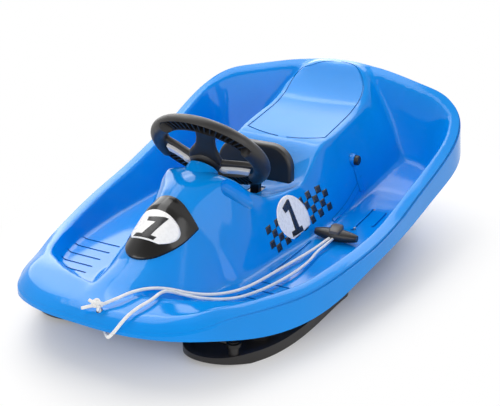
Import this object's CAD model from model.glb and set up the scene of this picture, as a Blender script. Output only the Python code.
"""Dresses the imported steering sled: shell, prints, visor, steering wheel, running gear and tow cord."""
import math

import bmesh
import bpy
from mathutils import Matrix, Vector
from mathutils.bvhtree import BVHTree


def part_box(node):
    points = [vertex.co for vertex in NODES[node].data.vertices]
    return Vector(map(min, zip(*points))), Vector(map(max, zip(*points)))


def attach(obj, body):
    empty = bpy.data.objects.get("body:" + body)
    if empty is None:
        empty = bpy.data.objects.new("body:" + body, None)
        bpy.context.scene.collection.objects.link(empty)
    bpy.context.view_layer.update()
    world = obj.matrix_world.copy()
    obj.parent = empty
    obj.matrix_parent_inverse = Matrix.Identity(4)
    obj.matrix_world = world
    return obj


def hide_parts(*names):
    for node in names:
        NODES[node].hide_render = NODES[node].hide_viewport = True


bl_info = {
    "name": "Steering sled dress",
    "version": (1, 0, 0),
    "blender": (4, 5, 0),
    "location": "View3D > Sidebar > Sled",
    "description": "Builds the visible pieces of a steering sled round its packed frame",
    "category": "Object",
}

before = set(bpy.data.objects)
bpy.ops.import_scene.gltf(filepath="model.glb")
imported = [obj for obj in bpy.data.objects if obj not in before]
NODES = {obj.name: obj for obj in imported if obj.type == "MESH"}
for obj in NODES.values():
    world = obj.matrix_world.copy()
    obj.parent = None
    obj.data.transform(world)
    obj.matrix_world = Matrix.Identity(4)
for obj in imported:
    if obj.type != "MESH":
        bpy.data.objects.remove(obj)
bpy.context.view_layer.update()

# Column frame of the steering, the same as the frame's steer joint
COLUMN_LEAN = math.radians(45.5)
WHEEL_CENTRE = Vector((0.0, -0.099, 0.235))
COLUMN_DOWN = Vector((0.0, -math.sin(COLUMN_LEAN), -math.cos(COLUMN_LEAN)))
COLUMN_FRONT = Vector((0.0, -math.cos(COLUMN_LEAN), math.sin(COLUMN_LEAN)))
COLUMN_SIDE = Vector((1.0, 0.0, 0.0))

# Routes of the tow cord's two strands, from the grip to the knot, in metres
UPPER_ROUTE = [
    (0.173, 0.030, 0.061), (0.169, 0.004, 0.059), (0.165, -0.032, 0.058), (0.158, -0.080, 0.0585),
    (0.151, -0.136, 0.061), (0.146, -0.194, 0.064), (0.136, -0.242, 0.067), (0.115, -0.279, 0.071),
    (0.089, -0.309, 0.080), (0.066, -0.333, 0.094), (0.051, -0.362, 0.105), (0.041, -0.395, 0.111),
    (0.033, -0.424, 0.110), (0.024, -0.444, 0.1086),
]
LOWER_ROUTE = [
    (0.1795, 0.030, 0.061), (0.178, 0.004, 0.059), (0.175, -0.032, 0.058), (0.181, -0.076, 0.059),
    (0.180, -0.130, 0.061), (0.173, -0.184, 0.0635), (0.162, -0.232, 0.066), (0.144, -0.275, 0.069),
    (0.114, -0.306, 0.0755), (0.088, -0.325, 0.085), (0.074, -0.346, 0.098), (0.077, -0.371, 0.109),
    (0.079, -0.399, 0.109), (0.075, -0.425, 0.109), (0.074, -0.447, 0.1075), (0.071, -0.462, 0.101),
    (0.066, -0.470, 0.091), (0.060, -0.474, 0.083), (0.052, -0.471, 0.0755), (0.041, -0.461, 0.0725),
    (0.030, -0.451, 0.076), (0.022, -0.446, 0.087), (0.020, -0.446, 0.1046),
]
KNOT_PLACE = Vector((0.0190, -0.4475, 0.1085))
KNOT_TAILS = [(0.007, -0.452, 0.1155), (-0.003, -0.457, 0.102)]

# Outline of the number one, in millimetres about its roundel's centre
NUMBER_ONE = [
    (-16.5, -19.5), (20, -19.5), (20, -9.5), (11, -9.5), (9, 46), (3, 47), (-20, 38.5), (-16, 27), (-2, 29),
    (-4, -9.5), (-15.5, -9.5),
]
MM = 0.001


class SledColours(bpy.types.PropertyGroup):
    """Colours of the sled's finishes."""
    shell: bpy.props.FloatVectorProperty(
        name="Shell", description="Colour of the moulded hull",
        subtype="COLOR", size=3, min=0.0, max=1.0, default=(0.001, 0.262, 0.790))
    black: bpy.props.FloatVectorProperty(
        name="Black", description="Colour of the black mouldings",
        subtype="COLOR", size=3, min=0.0, max=1.0, default=(0.013, 0.0115, 0.011))
    visor: bpy.props.FloatVectorProperty(
        name="Visor", description="Colour of the visor plate",
        subtype="COLOR", size=3, min=0.0, max=1.0, default=(0.008, 0.0072, 0.0065))
    insert: bpy.props.FloatVectorProperty(
        name="Inserts", description="Colour of the wheel's spoke inserts",
        subtype="COLOR", size=3, min=0.0, max=1.0, default=(0.70, 0.69, 0.69))
    print_white: bpy.props.FloatVectorProperty(
        name="White print", description="Colour of the roundels",
        subtype="COLOR", size=3, min=0.0, max=1.0, default=(0.93, 0.925, 0.92))
    print_black: bpy.props.FloatVectorProperty(
        name="Black print", description="Colour of numbers and squares",
        subtype="COLOR", size=3, min=0.0, max=1.0, default=(0.010, 0.010, 0.012))
    clip: bpy.props.FloatVectorProperty(
        name="Clip", description="Colour of the clip on the tow grip",
        subtype="COLOR", size=3, min=0.0, max=1.0, default=(0.085, 0.075, 0.070))
    cord: bpy.props.FloatVectorProperty(
        name="Cord", description="Colour of the tow cord",
        subtype="COLOR", size=3, min=0.0, max=1.0, default=(0.84, 0.84, 0.83))
    steel: bpy.props.FloatVectorProperty(
        name="Steel", description="Colour of the plated steel",
        subtype="COLOR", size=3, min=0.0, max=1.0, default=(0.42, 0.42, 0.43))
    dark_steel: bpy.props.FloatVectorProperty(
        name="Dark steel", description="Colour of the blackened steel",
        subtype="COLOR", size=3, min=0.0, max=1.0, default=(0.045, 0.044, 0.043))
    floor: bpy.props.FloatVectorProperty(
        name="Floor", description="Colour of the studio floor",
        subtype="COLOR", size=3, min=0.0, max=1.0, default=(0.88, 0.865, 0.85))


class SledSizes(bpy.types.PropertyGroup):
    """Sizes of the pieces that the frame leaves to the dress."""
    cord_radius: bpy.props.FloatProperty(
        name="Cord radius", description="Half the cord's thickness",
        unit="LENGTH", default=0.0025, min=0.001, max=0.006)
    print_lift: bpy.props.FloatProperty(
        name="Print lift", description="Height of a print over its surface",
        unit="LENGTH", default=0.0004, min=0.0001, max=0.002)
    roundel_radius: bpy.props.FloatProperty(
        name="Roundel radius", description="Half length of the side roundels",
        unit="LENGTH", default=0.052, min=0.02, max=0.08)
    visor_roundel: bpy.props.FloatProperty(
        name="Visor roundel", description="Half width of the visor's roundel",
        unit="LENGTH", default=0.0425, min=0.01, max=0.05)
    wheel_ring: bpy.props.FloatProperty(
        name="Wheel ring", description="Radius of the middle of the wheel's rim",
        unit="LENGTH", default=0.0935, min=0.05, max=0.2)
    wheel_grip: bpy.props.FloatProperty(
        name="Wheel grip", description="Half the thickness of the wheel's rim",
        unit="LENGTH", default=0.0150, min=0.006, max=0.03)
    wheel_wall: bpy.props.FloatProperty(
        name="Wheel wall", description="Thickness of the hollow rim's wall",
        unit="LENGTH", default=0.0024, min=0.001, max=0.006)


class SledStage(bpy.types.PropertyGroup):
    """Camera and light of the studio."""
    lens: bpy.props.FloatProperty(
        name="Lens", description="Focal length of the camera",
        unit="CAMERA", default=63.86, min=20.0, max=200.0)
    camera_place: bpy.props.FloatVectorProperty(
        name="Camera", description="Place of the camera",
        unit="LENGTH", subtype="XYZ", size=3, default=(0.750, -1.33275, 0.714))
    azimuth: bpy.props.FloatProperty(
        name="Azimuth", description="Heading of the camera round the sled",
        subtype="ANGLE", unit="ROTATION", default=math.radians(28.6))
    elevation: bpy.props.FloatProperty(
        name="Elevation", description="Height of the camera over the horizon",
        subtype="ANGLE", unit="ROTATION", default=math.radians(21.7))
    world_level: bpy.props.FloatProperty(
        name="World level", description="Strength of the room's light",
        default=0.41, min=0.0, max=2.0)
    floor_level: bpy.props.FloatProperty(
        name="Floor level", description="Strength of the far floor's light",
        default=0.85, min=0.0, max=2.0)


def colours():
    """Colours as the panel has them."""
    return bpy.context.scene.sled_colours


def sizes():
    """Sizes as the panel has them."""
    return bpy.context.scene.sled_sizes


def stage_values():
    """Camera and light as the panel has them."""
    return bpy.context.scene.sled_stage


def new_material(name, colour, roughness):
    """Material with a plain shader, ready for its detail nodes."""
    material = bpy.data.materials.new(name)
    material.use_nodes = True
    shader = material.node_tree.nodes["Principled BSDF"]
    shader.inputs["Base Color"].default_value = (*colour, 1.0)
    shader.inputs["Roughness"].default_value = roughness
    return material, shader


def add_noise(material, scale, detail=3.0):
    """Noise over the object's own coordinates."""
    nodes = material.node_tree.nodes
    place = nodes.new("ShaderNodeTexCoord")
    noise = nodes.new("ShaderNodeTexNoise")
    noise.inputs["Scale"].default_value = scale
    noise.inputs["Detail"].default_value = detail
    material.node_tree.links.new(place.outputs["Object"], noise.inputs["Vector"])
    return noise


def add_bump(material, shader, height, strength, distance):
    """Small relief from a height socket."""
    bump = material.node_tree.nodes.new("ShaderNodeBump")
    bump.inputs["Strength"].default_value = strength
    bump.inputs["Distance"].default_value = distance
    material.node_tree.links.new(height, bump.inputs["Height"])
    material.node_tree.links.new(bump.outputs["Normal"], shader.inputs["Normal"])


# Stretch of the noise's values that carries its drift of colour and of roughness
COLOUR_NOISE = (0.35, 0.65)
ROUGHNESS_NOISE = (0.3, 0.7)


def vary_colour(material, shader, colour, noise, spread):
    """Base colour that drifts a little lighter and darker with a noise."""
    ramp = material.node_tree.nodes.new("ShaderNodeValToRGB")
    low = [c * (1.0 - spread) for c in colour]
    high = [min(c * (1.0 + spread), 1.0) for c in colour]
    for stop, place, tone in zip(ramp.color_ramp.elements, COLOUR_NOISE, (low, high)):
        stop.position = place
        stop.color = (*tone, 1.0)
    material.node_tree.links.new(noise.outputs["Fac"], ramp.inputs["Fac"])
    material.node_tree.links.new(ramp.outputs["Color"], shader.inputs["Base Color"])


# How open a place is where a crease is darkest and where it ends, and the darkest share of the colour
CREASE_OPEN = (0.45, 0.85)
CREASE_DARKEST = 0.55
CREASE_SAMPLES = 8


def darken_creases(material, shader, reach):
    """Darkens the base colour in grooves and inner corners, looking no further than reach."""
    nodes = material.node_tree.nodes
    links = material.node_tree.links
    near = nodes.new("ShaderNodeAmbientOcclusion")
    near.only_local = True
    near.samples = CREASE_SAMPLES
    near.inputs["Distance"].default_value = reach
    shade = nodes.new("ShaderNodeMapRange")
    shade.inputs["From Min"].default_value = CREASE_OPEN[0]
    shade.inputs["From Max"].default_value = CREASE_OPEN[1]
    shade.inputs["To Min"].default_value = CREASE_DARKEST
    links.new(near.outputs["AO"], shade.inputs["Value"])
    product = nodes.new("ShaderNodeMix")
    product.data_type = "RGBA"
    product.blend_type = "MULTIPLY"
    product.inputs["Factor"].default_value = 1.0
    links.new(shader.inputs["Base Color"].links[0].from_socket, product.inputs["A"])
    links.new(shade.outputs["Result"], product.inputs["B"])
    links.new(product.outputs["Result"], shader.inputs["Base Color"])


def vary_roughness(material, shader, noise, low, high):
    """Roughness that drifts between two values with a noise."""
    span = material.node_tree.nodes.new("ShaderNodeMapRange")
    span.inputs["From Min"].default_value = ROUGHNESS_NOISE[0]
    span.inputs["From Max"].default_value = ROUGHNESS_NOISE[1]
    span.inputs["To Min"].default_value = low
    span.inputs["To Max"].default_value = high
    material.node_tree.links.new(noise.outputs["Fac"], span.inputs["Value"])
    material.node_tree.links.new(span.outputs["Result"], shader.inputs["Roughness"])


def moulded_plastic(name, colour, roughness, spread, grain, grain_depth, gloss=1.5):
    """Injection-moulded plastic: slow colour drift, uneven gloss and a fine grain."""
    material, shader = new_material(name, colour, roughness)
    vary_colour(material, shader, colour, add_noise(material, scale=9.0), spread)
    patches = add_noise(material, scale=60.0)
    vary_roughness(material, shader, patches, low=roughness * 0.85, high=roughness * 1.15)
    fine = add_noise(material, grain, detail=2.0)
    add_bump(material, shader, fine.outputs["Fac"], strength=0.25, distance=grain_depth)
    shader.inputs["IOR"].default_value = gloss
    return material


def plated_steel(name, colour):
    """Plated or blackened steel with a fine grain."""
    material, shader = new_material(name, colour, roughness=0.34)
    shader.inputs["Metallic"].default_value = 1.0
    vary_roughness(material, shader, add_noise(material, scale=220.0), low=0.30, high=0.46)
    grain = add_noise(material, scale=900.0)
    add_bump(material, shader, grain.outputs["Fac"], strength=0.12, distance=0.0002)
    return material


def print_ink(name, colour):
    """Printed film, a little glossier than the plastic below."""
    material, shader = new_material(name, colour, roughness=0.28)
    vary_colour(material, shader, colour, add_noise(material, scale=40.0), spread=0.015)
    vary_roughness(material, shader, add_noise(material, scale=160.0), low=0.24, high=0.32)
    grain = add_noise(material, scale=420.0)
    add_bump(material, shader, grain.outputs["Fac"], strength=0.02, distance=0.0001)
    return material


# Turn of the braid's two families of strands, in radians, and their closeness and unevenness
BRAID_TURN = 0.7
BRAID_SCALE = 190.0
BRAID_DISTORTION = 1.5


def woven_cord(name, colour):
    """Braided cord: two families of strands that wind both ways along it."""
    material, shader = new_material(name, colour, roughness=0.75)
    nodes = material.node_tree.nodes
    links = material.node_tree.links
    place = nodes.new("ShaderNodeTexCoord")
    waves = []
    for turn in (BRAID_TURN, -BRAID_TURN):
        mapping = nodes.new("ShaderNodeMapping")
        mapping.inputs["Rotation"].default_value = (0.0, 0.0, turn)
        wave = nodes.new("ShaderNodeTexWave")
        wave.inputs["Scale"].default_value = BRAID_SCALE
        wave.inputs["Distortion"].default_value = BRAID_DISTORTION
        links.new(place.outputs["Object"], mapping.inputs["Vector"])
        links.new(mapping.outputs["Vector"], wave.inputs["Vector"])
        waves.append(wave)
    crossing = nodes.new("ShaderNodeMath")
    crossing.operation = "MAXIMUM"
    links.new(waves[0].outputs["Fac"], crossing.inputs[0])
    links.new(waves[1].outputs["Fac"], crossing.inputs[1])
    add_bump(material, shader, crossing.outputs["Value"], strength=0.5, distance=0.0006)
    vary_colour(material, shader, colour, add_noise(material, scale=80.0), spread=0.05)
    shader.inputs["Sheen Weight"].default_value = 0.3
    return material


def paint_nodes(material, *names):
    """Gives CAD nodes one material."""
    for name in names:
        slots = NODES[name].data.materials
        slots.clear()
        slots.append(material)


def mesh_piece(name, vertices, faces, material, body, slot):
    """New smooth mesh object that rides on a body."""
    mesh = bpy.data.meshes.new(name)
    mesh.from_pydata([tuple(v) for v in vertices], [], faces)
    mesh.validate()
    mesh.update()
    mesh.shade_smooth()
    piece = bpy.data.objects.new(name, mesh)
    bpy.context.collection.objects.link(piece)
    mesh.materials.append(material)
    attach(piece, body)
    return piece


def soften(piece, angle, bevel=0.0, steps=2):
    """Rounds a piece's sharp edges, and keeps shading crisp where they stay sharp."""
    if bevel:
        rounding = piece.modifiers.new("edge_round", "BEVEL")
        rounding.width = bevel
        rounding.segments = steps
        rounding.limit_method = "ANGLE"
        rounding.angle_limit = angle
    piece.data.set_sharp_from_angle(angle=angle)


def grid_faces(rows, columns, wrap_rows=False, wrap_columns=False, first=0):
    """Quads between rows of points that are listed row by row."""
    faces = []
    for i in range(rows if wrap_rows else rows - 1):
        for j in range(columns if wrap_columns else columns - 1):
            a = i * columns
            b = (i + 1) % rows * columns
            k = (j + 1) % columns
            faces.append((first + a + j, first + a + k, first + b + k, first + b + j))
    return faces


def node_tree_of(name):
    """Search tree over the faces of a CAD node."""
    mesh = NODES[name].data
    points = [v.co.copy() for v in mesh.vertices]
    faces = [list(p.vertices) for p in mesh.polygons]
    return BVHTree.FromPolygons(points, faces)


# Soft boxes of the studio: name, place, what it points at, width, height and power
SOFT_BOXES = [
    ("rear_box", (-1.2, 2.0, 1.4), (0.0, 0.0, 0.15), 3.8, 2.2, 60.0),
    ("top_box", (-1.1, 0.5, 2.3), (-1.1, 0.5, 0.0), 1.5, 2.6, 40.0),
    ("side_box", (2.6, -0.5, 1.2), (0.1, 0.0, 0.10), 2.6, 1.6, 28.0),
    ("front_box", (0.2, -2.6, 1.1), (0.0, -0.2, 0.10), 2.6, 1.6, 32.0),
]
SENSOR_WIDTH = 36.0


class SLED_OT_stage(bpy.types.Operator):
    """Set up the studio: floor, room light, soft boxes and the camera"""
    bl_idname = "sled.stage"
    bl_label = "Studio"

    def execute(self, context):
        values = stage_values()
        make_room(values.world_level)
        make_floor(values.floor_level)
        for box in SOFT_BOXES:
            soft_box(*box)
        camera = bpy.data.cameras.new("photo_camera")
        camera.lens = values.lens
        camera.sensor_width = SENSOR_WIDTH
        camera.sensor_fit = "HORIZONTAL"
        holder = bpy.data.objects.new("photo_camera", camera)
        bpy.context.collection.objects.link(holder)
        holder.location = values.camera_place
        holder.rotation_euler = (math.pi / 2 - values.elevation, 0.0, values.azimuth)
        context.scene.camera = holder
        context.scene.view_settings.view_transform = "Standard"
        return {"FINISHED"}


def seen_white(tree, level):
    """Strength that is white to the camera, reflections and glass, and softer as light."""
    nodes = tree.nodes
    path = nodes.new("ShaderNodeLightPath")
    seen = path.outputs["Is Camera Ray"]
    for ray in ("Is Glossy Ray", "Is Transmission Ray"):
        either = nodes.new("ShaderNodeMath")
        either.operation = "MAXIMUM"
        tree.links.new(seen, either.inputs[0])
        tree.links.new(path.outputs[ray], either.inputs[1])
        seen = either.outputs["Value"]
    strength = nodes.new("ShaderNodeMapRange")
    strength.inputs["To Min"].default_value = level
    tree.links.new(seen, strength.inputs["Value"])
    return strength.outputs["Result"]


# Darker side of the room, how squarely it is faced where it is darkest, and its share of light there
ROOM_FRONT = (0.45, -0.80, 0.40)
ROOM_FRONT_FACING = 0.85
ROOM_FRONT_LEVEL = 0.40


def make_room(level):
    """White room round the sled, softer ahead of it."""
    world = bpy.data.worlds.new("studio_room")
    bpy.context.scene.world = world
    world.use_nodes = True
    tree = world.node_tree
    background = tree.nodes["Background"]
    background.inputs["Color"].default_value = (1.0, 1.0, 1.0, 1.0)
    heading = tree.nodes.new("ShaderNodeTexCoord")
    facing = tree.nodes.new("ShaderNodeVectorMath")
    facing.operation = "DOT_PRODUCT"
    facing.inputs[1].default_value = ROOM_FRONT
    tree.links.new(heading.outputs["Generated"], facing.inputs[0])
    fade = tree.nodes.new("ShaderNodeMapRange")
    fade.interpolation_type = "SMOOTHSTEP"
    fade.inputs["From Max"].default_value = ROOM_FRONT_FACING
    fade.inputs["To Min"].default_value = 1.0
    fade.inputs["To Max"].default_value = ROOM_FRONT_LEVEL
    tree.links.new(facing.outputs["Value"], fade.inputs["Value"])
    product = tree.nodes.new("ShaderNodeMath")
    product.operation = "MULTIPLY"
    tree.links.new(seen_white(tree, level), product.inputs[0])
    tree.links.new(fade.outputs["Result"], product.inputs[1])
    tree.links.new(product.outputs["Value"], background.inputs["Strength"])


# Half the floor's width, in metres
FLOOR_REACH = 6.0

# Distance from the middle of the shade below the sled: the shift to it, and what a metre counts each way
SHADE_SHIFT = (0.0, -0.12, 0.0)
SHADE_METRE = (1.7, 1.0, 1.0)

# Distances over which the shade turns into the floor's colour, and the floor into the glow of the room
SHADE_RANGE = (0.22, 0.50)
GLOW_RANGE = (0.40, 0.86)
SHADE_COLOUR = (0.12, 0.12, 0.12)


def make_floor(level):
    """Pale floor, dark below the sled, that takes its shadow and turns into the white room further off."""
    material, shader = new_material("studio_floor", colours().floor, roughness=0.55)
    tree = material.node_tree
    grain = add_noise(material, scale=300.0)
    add_bump(material, shader, grain.outputs["Fac"], strength=0.02, distance=0.0003)
    place = tree.nodes.new("ShaderNodeTexCoord")
    round_sled = tree.nodes.new("ShaderNodeMapping")
    round_sled.inputs["Location"].default_value = SHADE_SHIFT
    round_sled.inputs["Scale"].default_value = SHADE_METRE
    tree.links.new(place.outputs["Object"], round_sled.inputs["Vector"])
    away = tree.nodes.new("ShaderNodeVectorMath")
    away.operation = "LENGTH"
    tree.links.new(round_sled.outputs["Vector"], away.inputs[0])
    share = tree.nodes.new("ShaderNodeMapRange")
    share.interpolation_type = "SMOOTHSTEP"
    share.inputs["From Min"].default_value = GLOW_RANGE[0]
    share.inputs["From Max"].default_value = GLOW_RANGE[1]
    tree.links.new(away.outputs["Value"], share.inputs["Value"])
    shade = tree.nodes.new("ShaderNodeValToRGB")
    shade.color_ramp.interpolation = "EASE"
    tones = (SHADE_COLOUR, colours().floor)
    for stop, distance, tone in zip(shade.color_ramp.elements, SHADE_RANGE, tones):
        stop.position = distance
        stop.color = (*tone, 1.0)
    tree.links.new(away.outputs["Value"], shade.inputs["Fac"])
    tree.links.new(shade.outputs["Color"], shader.inputs["Base Color"])
    glow = tree.nodes.new("ShaderNodeEmission")
    tree.links.new(seen_white(tree, level), glow.inputs["Strength"])
    mix = tree.nodes.new("ShaderNodeMixShader")
    tree.links.new(share.outputs["Result"], mix.inputs["Fac"])
    tree.links.new(shader.outputs["BSDF"], mix.inputs[1])
    tree.links.new(glow.outputs["Emission"], mix.inputs[2])
    tree.links.new(mix.outputs["Shader"], tree.nodes["Material Output"].inputs["Surface"])
    mesh = bpy.data.meshes.new("studio_floor")
    corners = [(x * FLOOR_REACH, y * FLOOR_REACH, 0) for x, y in ((-1, -1), (1, -1), (1, 1), (-1, 1))]
    mesh.from_pydata(corners, [], [(0, 1, 2, 3)])
    floor = bpy.data.objects.new("studio_floor", mesh)
    bpy.context.collection.objects.link(floor)
    mesh.materials.append(material)


def soft_box(name, place, target, width, height, power):
    """Area light that the camera doesn't see."""
    lamp = bpy.data.lights.new(name, "AREA")
    lamp.shape = "RECTANGLE"
    lamp.size = width
    lamp.size_y = height
    lamp.energy = power
    holder = bpy.data.objects.new(name, lamp)
    bpy.context.collection.objects.link(holder)
    holder.location = place
    aim = Vector(target) - Vector(place)
    holder.rotation_euler = aim.to_track_quat("-Z", "Y").to_euler()
    holder.visible_camera = False


class SLED_OT_shell(bpy.types.Operator):
    """Finish the blue hull"""
    bl_idname = "sled.shell"
    bl_label = "Shell"

    def execute(self, context):
        blue = moulded_plastic("blue_shell", colours().shell, roughness=0.09, spread=0.03, grain=700.0,
                               grain_depth=0.00006, gloss=1.32)
        darken_creases(blue, blue.node_tree.nodes["Principled BSDF"], reach=0.006)
        paint_nodes(blue, "hull")
        return {"FINISHED"}


class SLED_OT_side_prints(bpy.types.Operator):
    """Print the chequered band, roundel and number on both walls of the seat"""
    bl_idname = "sled.side_prints"
    bl_label = "Side prints"

    def execute(self, context):
        black = print_ink("black_ink", colours().print_black)
        white = print_ink("white_ink", colours().print_white)
        tree = node_tree_of("hull")
        lift = sizes().print_lift
        reach = sizes().roundel_radius / MM
        disc = roundel_sheet(ROUNDEL_CENTRE, reach, reach * ROUNDEL_OVAL, lean=ROUNDEL_LEAN, low=ROUNDEL_LOW,
                             climb=ROUNDEL_CLIMB)
        number = outline_sheet(NUMBER_ONE)
        for side, label in ((1, "left"), (-1, "right")):
            wall = wall_seat(side)
            drape(label + "_chequers", chequer_sheet(), chequer_seat(side), tree, black, lift, "black_gloss")
            drape(label + "_roundel", disc, wall, tree, white, 2 * lift, "white_cord")
            drape(label + "_number", number, wall, tree, black, 3 * lift, "black_gloss")
        return {"FINISHED"}


# Where the side prints sit on the seat's walls, in millimetres
WALL_START = 150.0
NUMBER_HEIGHT = 86.0
ROUNDEL_CENTRE = (4.4, 11.5)
ROUNDEL_OVAL = 0.79
ROUNDEL_LEAN = math.radians(-24.7)
ROUNDEL_LOW = -22.0
ROUNDEL_CLIMB = 0.1
WALL_SLOPE = 1.09
SQUARE_WIDTH = 15.8
SQUARE_HEIGHT = 12.7
BAND_TOP = 108.5
BAND_CLIMB = 0.068
BAND_REAR = 110.0
BAND_ROWS = 4
BAND_COLUMNS = range(-12, 2)


def wall_seat(side):
    """Ray for a print's point on the seat's left wall (side 1) or right wall (side -1)."""
    def seat(u, v):
        start = Vector((side * WALL_START, side * u, NUMBER_HEIGHT + v / WALL_SLOPE))
        return start * MM, Vector((-side, 0, 0))
    return seat


def chequer_seat(side):
    """Ray for a point of the chequered band on the seat's left wall (side 1) or right wall (side -1)."""
    def seat(u, v):
        return Vector((side * WALL_START, u, v)) * MM, Vector((-side, 0, 0))
    return seat


def chequer_sheet():
    """Black squares of the band, each a small grid, as length and height along the wall."""
    cells = 4
    points = []
    faces = []
    for row in range(BAND_ROWS):
        for column in BAND_COLUMNS:
            if (row + column) % 2:
                continue
            faces += grid_faces(cells + 1, cells + 1, first=len(points))
            for i in range(cells + 1):
                y = BAND_REAR + SQUARE_WIDTH * (column + i / cells - 0.5)
                for j in range(cells + 1):
                    z = BAND_TOP + BAND_CLIMB * y - SQUARE_HEIGHT * (row + j / cells - 0.5)
                    points.append((y, z))
    return points, faces


def roundel_sheet(centre, half_long, half_short, lean, low, climb):
    """Oval disc cut along a line near its lower edge, as rings of points round its centre."""
    rings = 14
    count = 96
    points = [centre]
    for i in range(1, rings + 1):
        for j in range(count):
            angle = 2 * math.pi * j / count
            tilt = angle - lean
            spread = math.hypot(half_short * math.cos(tilt), half_long * math.sin(tilt))
            reach = half_long * half_short / spread
            fall = math.sin(angle) - climb * math.cos(angle)
            floor = low + climb * centre[0] - centre[1]
            if fall * reach < floor:
                reach = floor / fall
            share = reach * i / rings
            points.append((centre[0] + share * math.cos(angle), centre[1] + share * math.sin(angle)))
    faces = [(0, 1 + (j + 1) % count, 1 + j) for j in range(count)]
    return points, faces + grid_faces(rings, count, wrap_columns=True, first=1)


# Cuts in each edge of a number's triangles, and the share of a print's lift that its film fills
NUMBER_CUTS = 7
FILM_SHARE = 0.6


def outline_sheet(outline):
    """Flat shape filled with small triangles."""
    sheet = bmesh.new()
    face = sheet.faces.new([sheet.verts.new((u, v, 0.0)) for u, v in outline])
    face.normal_update()
    bmesh.ops.triangulate(sheet, faces=[face])
    bmesh.ops.subdivide_edges(sheet, edges=sheet.edges[:], cuts=NUMBER_CUTS, use_grid_fill=True)
    sheet.verts.index_update()
    points = [(v.co.x, v.co.y) for v in sheet.verts]
    faces = [[v.index for v in f.verts] for f in sheet.faces]
    sheet.free()
    return points, faces


def drape(name, sheet, seat, tree, material, lift, slot):
    """Lays a flat print on a surface, a little above it, as a thin film."""
    points, faces = sheet
    places = []
    for u, v in points:
        start, aim = seat(u, v)
        hit, normal, _, _ = tree.ray_cast(start, aim)
        if hit is None:
            raise RuntimeError(f"{name} has no surface below ({u:.1f}, {v:.1f})")
        if normal.dot(aim) > 0:
            normal = -normal
        places.append(hit + normal * lift)
    first = faces[0]
    across = (places[first[1]] - places[first[0]]).cross(places[first[2]] - places[first[0]])
    if across.dot(seat(*points[first[0]])[1]) > 0:
        faces = [tuple(reversed(face)) for face in faces]
    piece = mesh_piece(name, places, faces, material, "sled", slot)
    film = piece.modifiers.new("film", "SOLIDIFY")
    film.thickness = lift * FILM_SHARE
    film.offset = -1.0


class SLED_OT_visor(bpy.types.Operator):
    """Finish the dark visor plate on the cowl, with its roundel and number"""
    bl_idname = "sled.visor"
    bl_label = "Visor"

    def execute(self, context):
        plate = moulded_plastic("visor_plate", colours().visor, roughness=0.14, spread=0.05, grain=800.0,
                                grain_depth=0.00004, gloss=1.42)
        paint_nodes(plate, "visor_badge")
        black = print_ink("visor_black_ink", colours().print_black)
        white = print_ink("visor_white_ink", colours().print_white)
        tree = node_tree_of("visor_badge")
        lift = sizes().print_lift
        reach = sizes().visor_roundel / MM
        disc = roundel_sheet(VISOR_DISC, reach, reach * VISOR_OVAL, lean=0.0, low=VISOR_DISC_LOW, climb=0.0)
        points, faces = outline_sheet(NUMBER_ONE)
        foot = NUMBER_ONE[0][1]
        number = [(VISOR_NUMBER_WIDE * u + VISOR_LEAN * (v - foot) + VISOR_NUMBER_FOOT[0],
                   VISOR_NUMBER_TALL * (v - foot) + VISOR_NUMBER_FOOT[1]) for u, v in points]
        drape("visor_roundel", disc, visor_seat, tree, white, lift, "white_cord")
        drape("visor_number", (number, faces), visor_seat, tree, black, 2 * lift, "black_gloss")
        return {"FINISHED"}


# Where the visor's prints sit, in millimetres, and how its number is drawn
VISOR_CENTRE = Vector((0.0, -277.0, 170.0))
VISOR_NORMAL = Vector((0.0, -0.69, 0.72))
VISOR_CLIMB = Vector((0.0, 0.72, 0.69))
VISOR_CLEAR = 40.0
VISOR_DISC = (0.0, -8.0)
VISOR_OVAL = 0.73
VISOR_DISC_LOW = -33.0
VISOR_NUMBER_FOOT = (-5.4, -30.0)
VISOR_NUMBER_WIDE = 1.07
VISOR_NUMBER_TALL = 0.65
VISOR_LEAN = 0.27


def visor_seat(u, v):
    """Ray for a print's point on the visor plate."""
    start = VISOR_CENTRE + Vector((u, 0.0, 0.0)) + VISOR_CLIMB * v + VISOR_NORMAL * VISOR_CLEAR
    return start * MM, -VISOR_NORMAL


class SLED_OT_wheel(bpy.types.Operator):
    """Build the steering wheel: hollow ribbed rim, three spokes, their inserts and the hub"""
    bl_idname = "sled.wheel"
    bl_label = "Steering wheel"

    def execute(self, context):
        black = moulded_plastic("wheel_black", colours().black, roughness=0.46, spread=0.12, grain=1100.0,
                                grain_depth=0.0003)
        insert = moulded_plastic("wheel_insert", colours().insert, roughness=0.36, spread=0.05, grain=900.0,
                                 grain_depth=0.0002)
        rim = mesh_piece("wheel_rim", *rim_mesh(), black, "steering", "black_plastic")
        soften(rim, angle=math.radians(40))
        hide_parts("steering_wheel")
        webs = mesh_piece("wheel_rim_webs", *web_mesh(), black, "steering", "black_plastic")
        soften(webs, angle=math.radians(40))
        spider = mesh_piece("wheel_spider", *spider_mesh(), black, "steering", "black_plastic")
        soften(spider, angle=math.radians(50))
        for turn, label in ((SIDE_SPOKE, "left"), (-SIDE_SPOKE, "right")):
            bar = mesh_piece(label + "_spoke_insert", *insert_mesh(FRONT_SPOKE - turn), insert, "steering",
                             "dark_plastic")
            soften(bar, angle=math.radians(35), bevel=0.0016, steps=3)
        return {"FINISHED"}


# Angles round the wheel from its left side towards its front, in degrees
FRONT_SPOKE = 72.0
SIDE_SPOKE = 98.0
WEB_STEP = 6.0
FRONT_WEBS = 47.0
REAR_WEBS = 122.0
RIM_FADE = 3.0

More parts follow.
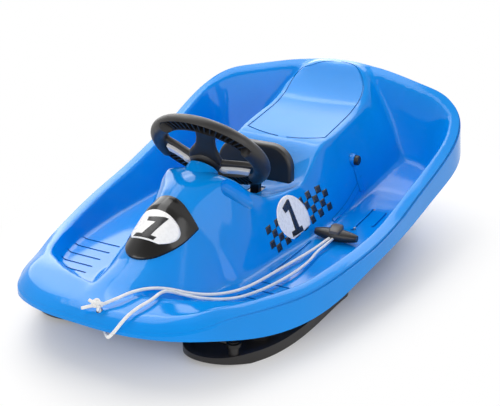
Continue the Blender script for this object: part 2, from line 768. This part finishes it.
# Spokes as (reach, half width) and (reach, depth), and the hub as (radius, depth), in millimetres
FRONT_SPOKE_SIDES = [(10, 29), (22, 29), (30, 25.5), (40, 20), (52, 16.5), (66, 15.5), (82, 18)]
SIDE_SPOKE_SIDES = [(10, 20), (22, 19), (32, 16.5), (45, 15), (60, 14.5), (72, 15.5), (82, 19)]
SPOKE_DEPTHS = [(10, 19), (24, 18), (40, 12.5), (60, 6), (82, 1)]
SPOKE_HALF_THICK = 6.0
SPOKE_ROUNDNESS = 0.4
HUB_PROFILE = [
    (0, 8.0), (18.5, 8.0), (24, 8.3), (28, 10), (30.2, 13.5), (30.6, 18), (29, 23), (26, 27), (22.5, 29.2),
    (19, 29.8), (6.4, 29.8), (6.4, 14.5), (0, 14.5),
]

# Inserts on the side spokes, and the rings of their bosses as (radius, rise), in millimetres
INSERT_START = 33.0
INSERT_END = 76.0
INSERT_HALF = 9.0
INSERT_RISE = 6.0
INSERT_FOOT = -2.0
BOSS_RINGS = [(9.0, 0.0), (9.0, 5.0), (8.2, 7.5), (6.2, 9.2), (3.2, 10.0)]
BOSS_RISE = 3.0


def between(table, value):
    """Value read from a table of (place, value) pairs, in straight steps."""
    if value <= table[0][0]:
        return table[0][1]
    for (a, low), (b, high) in zip(table, table[1:]):
        if value <= b:
            share = (value - a) / (b - a)
            return low + (high - low) * share
    return table[-1][1]


def wheel_place(along, across, depth, turn):
    """Point of the wheel from its axis, in millimetres, along a direction round it."""
    angle = math.radians(turn)
    side = along * math.cos(angle) - across * math.sin(angle)
    front = along * math.sin(angle) + across * math.cos(angle)
    return WHEEL_CENTRE + (COLUMN_SIDE * side + COLUMN_FRONT * front + COLUMN_DOWN * depth) * MM


def from_front(turn):
    """Angle between a direction round the wheel and its front spoke."""
    return abs((turn - FRONT_SPOKE + 180.0) % 360.0 - 180.0)


def rim_open(turn):
    """How far the rim's underside is hollow: 1 where it has webs, 0 where a side spoke joins it."""
    away = from_front(turn)
    edge = max(FRONT_WEBS + RIM_FADE - away, away - REAR_WEBS + RIM_FADE)
    share = min(max(edge / RIM_FADE, 0.0), 1.0)
    return share * share * (3 - 2 * share)


# How far below the rim's middle its hollow opens, and its webs end, as angles round its section
RIM_CUT = math.radians(24)
WEB_CUT = 0.85 * RIM_CUT

# Half the thickness of a web, in millimetres
WEB_HALF = 1.0


def rim_mesh():
    """Tube whose underside opens into a hollow channel between the side spokes."""
    grip = sizes().wheel_grip / MM
    wall = sizes().wheel_wall / MM
    ring = sizes().wheel_ring / MM
    count = 288
    outer_steps = 20
    inner_steps = 16
    sweep = math.pi + 2 * RIM_CUT
    start = math.pi - RIM_CUT
    outer = [RIM_CUT - sweep * j / outer_steps for j in range(outer_steps + 1)]
    fill = [start - (math.pi - 2 * RIM_CUT) * j / inner_steps for j in range(1, inner_steps)]
    hollow = [start + sweep * (j - 1) / (inner_steps - 2) for j in range(1, inner_steps)]
    points = []
    for i in range(count):
        turn = 360.0 * i / count
        share = rim_open(turn)
        section = [(grip * math.cos(a), grip * math.sin(a)) for a in outer]
        for shut, open_angle in zip(fill, hollow):
            low = (grip * math.cos(shut), grip * math.sin(shut))
            deep = ((grip - wall) * math.cos(open_angle), (grip - wall) * math.sin(open_angle))
            section.append((low[0] + (deep[0] - low[0]) * share, low[1] + (deep[1] - low[1]) * share))
        points += [wheel_place(ring + radial, 0.0, depth, turn) for radial, depth in section]
    columns = len(outer) + len(fill)
    return points, grid_faces(count, columns, wrap_rows=True, wrap_columns=True)


def web_mesh():
    """Thin cross webs in the rim's hollow channel."""
    grip = sizes().wheel_grip / MM
    ring = sizes().wheel_ring / MM
    reach = grip - sizes().wheel_wall / MM * 0.5
    steps = 16
    arc = [math.pi - WEB_CUT + (math.pi + 2 * WEB_CUT) * j / steps for j in range(steps + 1)]
    count = len(arc)
    points = []
    faces = []
    for i in range(int(360 / WEB_STEP)):
        turn = WEB_STEP * i
        if rim_open(turn) < 1.0:
            continue
        first = len(points)
        for across in (-WEB_HALF, WEB_HALF):
            points += [wheel_place(ring + reach * math.cos(a), across, reach * math.sin(a), turn)
                       for a in arc]
        faces.append([first + j for j in range(count)])
        faces.append([first + count + j for j in reversed(range(count))])
        for j in range(count):
            k = (j + 1) % count
            faces.append((first + k, first + j, first + count + j, first + count + k))
    return points, faces


def rounded_square(angle, power):
    """Point of a unit square with rounded corners, rounder as power nears 1."""
    c = math.cos(angle)
    s = math.sin(angle)
    return math.copysign(abs(c) ** power, c), math.copysign(abs(s) ** power, s)


def spoke_points(turn, sides):
    """Rings of points along a spoke with rounded edges."""
    rows = 15
    columns = 24
    points = []
    start = sides[0][0]
    end = sides[-1][0]
    for i in range(rows):
        reach = start + (end - start) * i / (rows - 1)
        half = between(sides, reach)
        depth = between(SPOKE_DEPTHS, reach)
        for j in range(columns):
            across, rise = rounded_square(2 * math.pi * j / columns, SPOKE_ROUNDNESS)
            points.append(wheel_place(reach, half * across, depth + SPOKE_HALF_THICK * rise, turn))
    return points, rows, columns


def spider_mesh():
    """Three spokes and the rounded hub that they meet in."""
    points = []
    faces = []
    for turn, sides in ((FRONT_SPOKE, FRONT_SPOKE_SIDES), (FRONT_SPOKE + SIDE_SPOKE, SIDE_SPOKE_SIDES),
                        (FRONT_SPOKE - SIDE_SPOKE, SIDE_SPOKE_SIDES)):
        first = len(points)
        spoke, rows, columns = spoke_points(turn, sides)
        points += spoke
        faces += grid_faces(rows, columns, wrap_columns=True, first=first)
        faces.append([first + j for j in reversed(range(columns))])
        faces.append([first + (rows - 1) * columns + j for j in range(columns)])
    first = len(points)
    count = 64
    ring = HUB_PROFILE[1:-1]
    for i in range(count):
        points += [wheel_place(reach, 0.0, depth, 360.0 * i / count) for reach, depth in ring]
    faces += grid_faces(count, len(ring), wrap_rows=True, first=first)
    for end, column in ((HUB_PROFILE[0], 0), (HUB_PROFILE[-1], len(ring) - 1)):
        centre = len(points)
        points.append(wheel_place(end[0], 0.0, end[1], 0.0))
        for i in range(count):
            a = first + i * len(ring) + column
            b = first + (i + 1) % count * len(ring) + column
            faces.append((centre, b, a) if column == 0 else (centre, a, b))
    return points, faces


def insert_mesh(turn):
    """Raised light bar along a side spoke, with a rounded boss at its hub end."""
    points = []
    faces = []
    rows = 10
    section = [(-INSERT_HALF, INSERT_FOOT), (INSERT_HALF, INSERT_FOOT), (INSERT_HALF, INSERT_RISE),
               (-INSERT_HALF, INSERT_RISE)]
    corners = len(section)
    for i in range(rows):
        reach = INSERT_START + (INSERT_END - INSERT_START) * i / (rows - 1)
        depth = between(SPOKE_DEPTHS, reach) + SPOKE_HALF_THICK
        for across, rise in section:
            points.append(wheel_place(reach, across, depth + rise, turn))
    faces += grid_faces(rows, corners, wrap_columns=True)
    faces.append(list(reversed(range(corners))))
    faces.append([corners * (rows - 1) + j for j in range(corners)])
    first = len(points)
    count = 24
    last = len(BOSS_RINGS) - 1
    base = between(SPOKE_DEPTHS, INSERT_START) + BOSS_RISE
    for i in range(count):
        angle = 2 * math.pi * i / count
        points += [wheel_place(INSERT_START + r * math.cos(angle), r * math.sin(angle), base + h, turn)
                   for r, h in BOSS_RINGS]
    faces += grid_faces(count, len(BOSS_RINGS), wrap_rows=True, first=first)
    faces.append([first + i * len(BOSS_RINGS) for i in reversed(range(count))])
    faces.append([first + i * len(BOSS_RINGS) + last for i in range(count)])
    return points, faces


# Colour of the bush, bracket and washers below the hull
HIDDEN_GREY = (0.06, 0.06, 0.065)


class SLED_OT_running_gear(bpy.types.Operator):
    """Finish the skis, runners, steering rods and fasteners"""
    bl_idname = "sled.running_gear"
    bl_label = "Running gear"

    def execute(self, context):
        black = moulded_plastic("black_moulding", colours().black, roughness=0.40, spread=0.12, grain=1400.0,
                                grain_depth=0.0003)
        grey = moulded_plastic("grey_moulding", HIDDEN_GREY, roughness=0.5, spread=0.08, grain=900.0,
                               grain_depth=0.0003)
        steel = plated_steel("zinc_steel", colours().steel)
        dark_steel = plated_steel("blackened_steel", colours().dark_steel)
        paint_nodes(black, "left_ski", "right_ski", "left_rear_runner", "right_rear_runner", "brake_handle",
                    "left_brake_cap", "right_brake_cap", "tow_grip", "wheel_cap")
        paint_nodes(grey, "column_bush", "column_bracket", "left_thrust_washer", "right_thrust_washer")
        paint_nodes(steel, "wheel_pin", "steering_column", "bracket_screws", "steering_crank",
                    "runner_screws", "brake_shaft", "left_brake_claw", "right_brake_claw", "claw_rivets")
        paint_nodes(dark_steel, "tie_rod", "left_kingpin", "right_kingpin", "left_post_clip",
                    "right_post_clip", "brake_lever")
        return {"FINISHED"}


class SLED_OT_tow_cord(bpy.types.Operator):
    """Lay the white tow cord from its grip to the knot on the front deck"""
    bl_idname = "sled.tow_cord"
    bl_label = "Tow cord"

    def execute(self, context):
        white = woven_cord("white_braid", colours().cord)
        brown = moulded_plastic("clip_moulding", colours().clip, roughness=0.42, spread=0.08, grain=900.0,
                                grain_depth=0.0003)
        clip = clip_piece("tow_grip_clip", brown)
        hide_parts("tow_grip_tab")
        knot = knot_piece("tow_line_knot", white)
        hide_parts("tow_knot")
        upper = cord_piece("tow_line_upper", UPPER_ROUTE, white)
        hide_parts("tow_cord_upper")
        lower = cord_piece("tow_line_lower", LOWER_ROUTE, white)
        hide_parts("tow_cord_lower")
        return {"FINISHED"}


def cord_curve(name, material):
    """Empty curve for a cord riding on the sled; its points carry the thickness, so its box is the tube's."""
    curve = bpy.data.curves.new(name, "CURVE")
    curve.dimensions = "3D"
    curve.bevel_depth = 1.0
    curve.bevel_resolution = 5
    curve.use_fill_caps = True
    curve.materials.append(material)
    piece = bpy.data.objects.new(name, curve)
    bpy.context.collection.objects.link(piece)
    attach(piece, "sled")
    return piece


def add_run(piece, places, closed=False):
    """Smooth spline with the given places as its control points."""
    spline = piece.data.splines.new("NURBS")
    spline.points.add(len(places) - 1)
    for point, place in zip(spline.points, places):
        point.co = (*place, 1.0)
        point.radius = sizes().cord_radius
    spline.order_u = 3
    if closed:
        spline.use_cyclic_u = True
    else:
        spline.use_endpoint_u = True
    spline.resolution_u = 8


def cord_piece(name, route, material):
    """One strand of the cord along its route."""
    piece = cord_curve(name, material)
    add_run(piece, route)
    return piece


# Size of the knot's loops in millimetres, their depth against it, and how far the tails bow
KNOT_SIZE = 2.6
KNOT_DEPTH = 1.6
KNOT_STEPS = 24
TAIL_BOW = Vector((0.0, -0.0015, 0.001))


def knot_piece(name, material):
    """Overhand knot pulled round both strands, with its two loose tails."""
    piece = cord_curve(name, material)
    loop = []
    for i in range(KNOT_STEPS):
        t = 2 * math.pi * i / KNOT_STEPS
        turn = Vector((math.sin(t) + 2 * math.sin(2 * t), KNOT_DEPTH * math.sin(3 * t),
                       math.cos(t) - 2 * math.cos(2 * t)))
        loop.append(KNOT_PLACE + turn * KNOT_SIZE * MM)
    add_run(piece, loop, closed=True)
    for tail in KNOT_TAILS:
        end = Vector(tail)
        middle = KNOT_PLACE.lerp(end, 0.5) + TAIL_BOW
        add_run(piece, [KNOT_PLACE, middle, end])
    return piece


# Clip on the grip as (share of its length, half width, top), in millimetres over the grip's middle
CLIP_SECTIONS = [
    (0.0, 8.5, 11.5), (0.12, 10.5, 14.0), (0.45, 11.5, 16.0), (0.55, 11.5, 19.0), (0.9, 10.0, 18.0),
    (1.0, 8.0, 15.0),
]
CLIP_FOOT = 5.0
CLIP_ROUNDNESS = 0.5


def clip_piece(name, material):
    """Low clip that holds the cord on the grip, with a raised lip across it."""
    low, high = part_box("tow_grip_tab")
    base = 0.5 * (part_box("tow_grip")[0][2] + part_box("tow_grip")[1][2])
    middle = 0.5 * (low[0] + high[0])
    columns = 20
    points = []
    for share, half, top in CLIP_SECTIONS:
        y = low[1] + (high[1] - low[1]) * share
        for j in range(columns):
            across, up = rounded_square(2 * math.pi * j / columns, CLIP_ROUNDNESS)
            rise = 0.5 * (top + CLIP_FOOT) + 0.5 * (top - CLIP_FOOT) * up
            points.append((middle + half * across * MM, y, base + rise * MM))
    rows = len(CLIP_SECTIONS)
    faces = grid_faces(rows, columns, wrap_columns=True)
    faces.append(list(range(columns)))
    faces.append([(rows - 1) * columns + j for j in reversed(range(columns))])
    outward = [tuple(reversed(face)) for face in faces]
    piece = mesh_piece(name, points, outward, material, "sled", "dark_plastic")
    soften(piece, angle=math.radians(45))
    return piece


class SLED_PT_panel(bpy.types.Panel):
    """Lists the sled's steps and its settings"""
    bl_idname = "SLED_PT_panel"
    bl_label = "Steering sled"
    bl_space_type = "VIEW_3D"
    bl_region_type = "UI"
    bl_category = "Sled"

    def draw(self, context):
        for step in STEPS:
            self.layout.operator(step.bl_idname)
        for group in (context.scene.sled_colours, context.scene.sled_sizes, context.scene.sled_stage):
            for name in group.__annotations__:
                self.layout.prop(group, name)


GROUPS = {"sled_colours": SledColours, "sled_sizes": SledSizes, "sled_stage": SledStage}
STEPS = [SLED_OT_stage, SLED_OT_tow_cord, SLED_OT_shell, SLED_OT_side_prints, SLED_OT_visor, SLED_OT_wheel,
         SLED_OT_running_gear]


def register():
    for group in GROUPS.values():
        bpy.utils.register_class(group)
    for name, group in GROUPS.items():
        setattr(bpy.types.Scene, name, bpy.props.PointerProperty(type=group))
    for step in STEPS:
        bpy.utils.register_class(step)
    bpy.utils.register_class(SLED_PT_panel)


def unregister():
    bpy.utils.unregister_class(SLED_PT_panel)
    for step in reversed(STEPS):
        bpy.utils.unregister_class(step)
    for name in GROUPS:
        delattr(bpy.types.Scene, name)
    for group in GROUPS.values():
        bpy.utils.unregister_class(group)


def main():
    register()
    bpy.ops.sled.stage()
    bpy.ops.sled.tow_cord()
    bpy.ops.sled.shell()
    bpy.ops.sled.side_prints()
    bpy.ops.sled.visor()
    bpy.ops.sled.wheel()
    bpy.ops.sled.running_gear()


if __name__ == "__main__":
    main()
